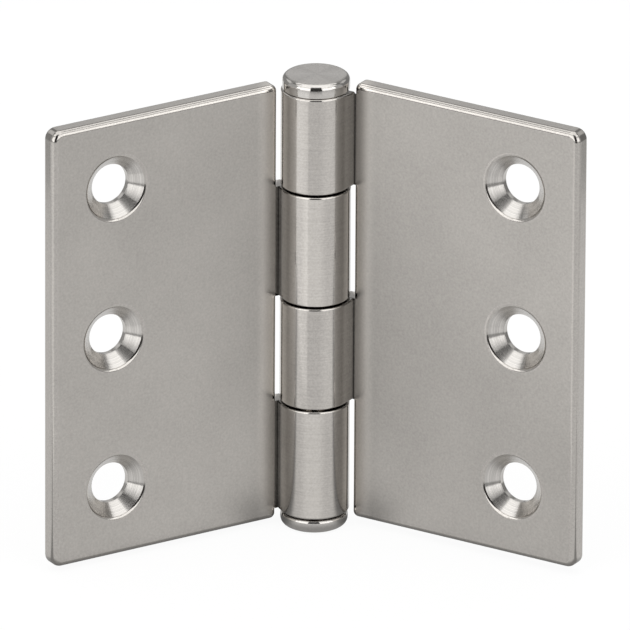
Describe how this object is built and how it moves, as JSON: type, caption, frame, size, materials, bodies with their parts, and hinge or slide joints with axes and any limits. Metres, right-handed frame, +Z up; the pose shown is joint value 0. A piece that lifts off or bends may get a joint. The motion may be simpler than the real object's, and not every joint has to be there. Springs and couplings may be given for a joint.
{
  "type": "butt hinge",
  "caption": "Heavy butt hinge of thick stainless sheet: plain leaves with countersunk screw holes, rolled interleaved knuckles and a pin with round turned ends.",
  "frame": {"origin": "centre of the flat end of the lower pin cap, on the pin's axis", "axes": "+Z up the pin's axis; the leaves stand in a V that opens towards -Y, the right leaf towards +X and the left leaf towards -X"},
  "size_m": [0.1148, 0.0368, 0.1034],
  "materials": {
    "leaf_steel": "tumbled stainless sheet with a fine satin grain",
    "turned_steel": "bright turned stainless steel"
  },
  "bodies": {
    "right_half": {"right_leaf": "leaf_steel", "hinge_pin": "turned_steel", "lower_pin_cap": "turned_steel"},
    "left_half": {"left_leaf": "leaf_steel"}
  },
  "joints": [
    {"name": "leaf_swing", "type": "hinge", "parent": "right_half", "child": "left_half", "pos_m": [0, 0, 0], "axis": [0, 0, 1], "range_deg": [-147, 122]}
  ]
}
